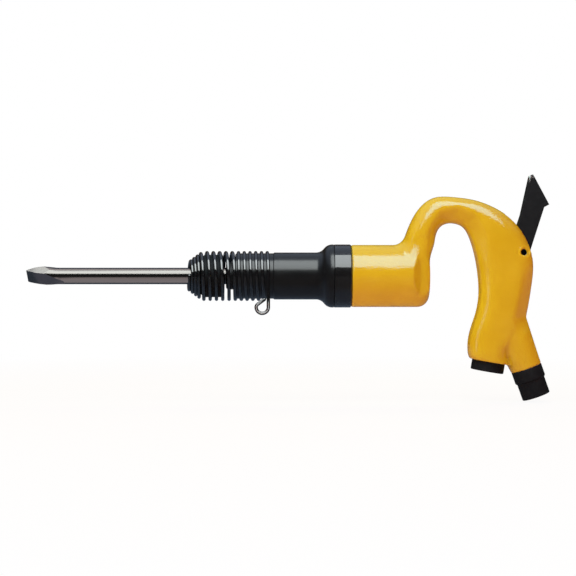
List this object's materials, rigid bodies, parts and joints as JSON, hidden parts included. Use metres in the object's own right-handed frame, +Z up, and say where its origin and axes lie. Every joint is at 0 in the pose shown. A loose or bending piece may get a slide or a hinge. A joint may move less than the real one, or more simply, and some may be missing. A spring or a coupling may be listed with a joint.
{
  "type": "pneumatic chipping hammer",
  "caption": "Hand-held air hammer with a gooseneck handle, outside throttle lever, turned barrel and a wire retainer that holds a flat chisel.",
  "frame": {"origin": "middle of the grip, where the thrust line of the hammer crosses it", "axes": "+X along the hammer from the chisel to the hand, +Z up towards the lever, -Y the side with the tail of the retainer spring"},
  "size_m": [0.522, 0.063, 0.2263],
  "materials": {
    "ground_steel": "satin",
    "blackened_wire": "satin",
    "blackened_steel": "satin",
    "deflector_black": "gloss",
    "hardened_steel": "satin",
    "valve_steel": "satin",
    "handle_yellow": "gloss",
    "lever_black": "satin",
    "pin_steel": "satin",
    "plug_black": "satin",
    "spring_steel": "satin",
    "seat_brass": "satin",
    "strainer_brass": "satin",
    "seal_rubber": "matte"
  },
  "bodies": {
    "hammer_body": {"retainer_spring": "blackened_wire", "retainer_sleeve": "blackened_steel", "tool_bush": "hardened_steel", "barrel": "blackened_steel", "barrel_seal": "seal_rubber", "valve_box": "valve_steel", "valve_cover": "valve_steel", "valve_dowels": "hardened_steel", "handle": "handle_yellow", "lever_pin": "pin_steel", "throttle_seat": "seat_brass", "stem_seal": "seal_rubber", "throttle_spring": "spring_steel", "throttle_plug": "plug_black", "plug_seal": "seal_rubber", "inlet_coupling": "plug_black", "inlet_seal": "seal_rubber", "inlet_strainer": "strainer_brass"},
    "chisel_body": {"chisel": "ground_steel"},
    "piston_body": {"piston": "hardened_steel"},
    "spool_body": {"valve_spool": "valve_steel"},
    "deflector_body": {"exhaust_deflector": "deflector_black"},
    "lever_body": {"throttle_lever": "lever_black"},
    "throttle_body": {"throttle_valve": "valve_steel"}
  },
  "joints": [
    {"name": "chisel_slide", "type": "slide", "parent": "hammer_body", "child": "chisel_body", "axis": [-1, 0, 0], "range_m": [0, 0.0032]},
    {"name": "piston_slide", "type": "slide", "parent": "hammer_body", "child": "piston_body", "axis": [1, 0, 0], "range_m": [0, 0.042]},
    {"name": "spool_slide", "type": "slide", "parent": "hammer_body", "child": "spool_body", "axis": [1, 0, 0], "range_m": [0, 0.0024]},
    {"name": "deflector_turn", "type": "hinge", "parent": "hammer_body", "child": "deflector_body", "pos_m": [-0.1625, 0, 0], "axis": [1, 0, 0], "continuous": true},
    {"name": "lever_swing", "type": "hinge", "parent": "hammer_body", "child": "lever_body", "pos_m": [0.0163, 0, 0.0234], "axis": [0, -1, 0], "range_deg": [0, 20], "stiffness_Nm_per_rad": 0.8, "springref_deg": -20.05},
    {"name": "throttle_slide", "type": "slide", "parent": "hammer_body", "child": "throttle_body", "axis": [-0.169, 0, -0.9856], "range_m": [0, 0.00484], "deforming": ["throttle_spring"]}
  ],
  "couplings": [
    {"joint": "throttle_slide", "follows": "lever_swing", "m_per_rad": 0.013853}
  ]
}
